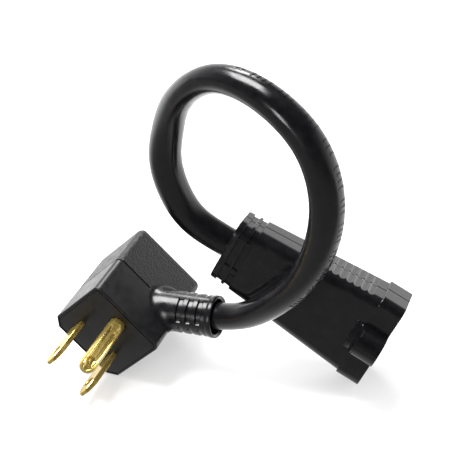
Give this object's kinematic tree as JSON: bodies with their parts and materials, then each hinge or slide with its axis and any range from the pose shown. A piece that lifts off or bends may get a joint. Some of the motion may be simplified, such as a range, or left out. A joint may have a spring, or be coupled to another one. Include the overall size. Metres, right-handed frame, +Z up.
{
  "type": "power adapter lead",
  "caption": "Short looped power adapter lead from an angled plug, with flat blades and a round ground pin, to a flat keyed connector with round sockets.",
  "frame": {"origin": "middle of the footprint of the plug and the connector, on the surface the lead rests on", "axes": "+Z up, +X from the plug towards the connector's mouth, -Y the way the plug's pins point"},
  "size_m": [0.0956, 0.056, 0.099],
  "materials": {
    "plug_front": "fine satin moulded black",
    "plug_rear": "coarse grained moulded black",
    "pin_carrier": "natural moulded, fine grain",
    "pins": "rolled and stamped brass, lightly polished",
    "strain_relief": "smooth glossy moulded black",
    "cord_jacket": "glossy extruded black",
    "line_core": "extruded black insulation",
    "neutral_core": "extruded white insulation",
    "ground_core": "extruded green insulation",
    "copper": "bare stranded copper, shown as one round wire",
    "connector_shell": "satin moulded black",
    "contact_carrier": "moulded dark grey, fine grain",
    "contacts": "turned brass tube, lightly oxidised"
  },
  "bodies": {
    "root": {"plug_front_shell": "plug_front", "plug_rear_shell": "plug_rear", "pin_carrier": "pin_carrier", "line_blade": "pins", "neutral_blade": "pins", "ground_pin": "pins", "strain_relief": "strain_relief", "cord_jacket": "cord_jacket", "line_insulation": "line_core", "neutral_insulation": "neutral_core", "ground_insulation": "ground_core", "line_conductor": "copper", "neutral_conductor": "copper", "ground_conductor": "copper", "connector_key_shell": "connector_shell", "connector_plain_shell": "connector_shell", "contact_carrier": "contact_carrier", "line_contact": "contacts", "neutral_contact": "contacts", "ground_contact": "contacts"}
  },
  "joints": []
}
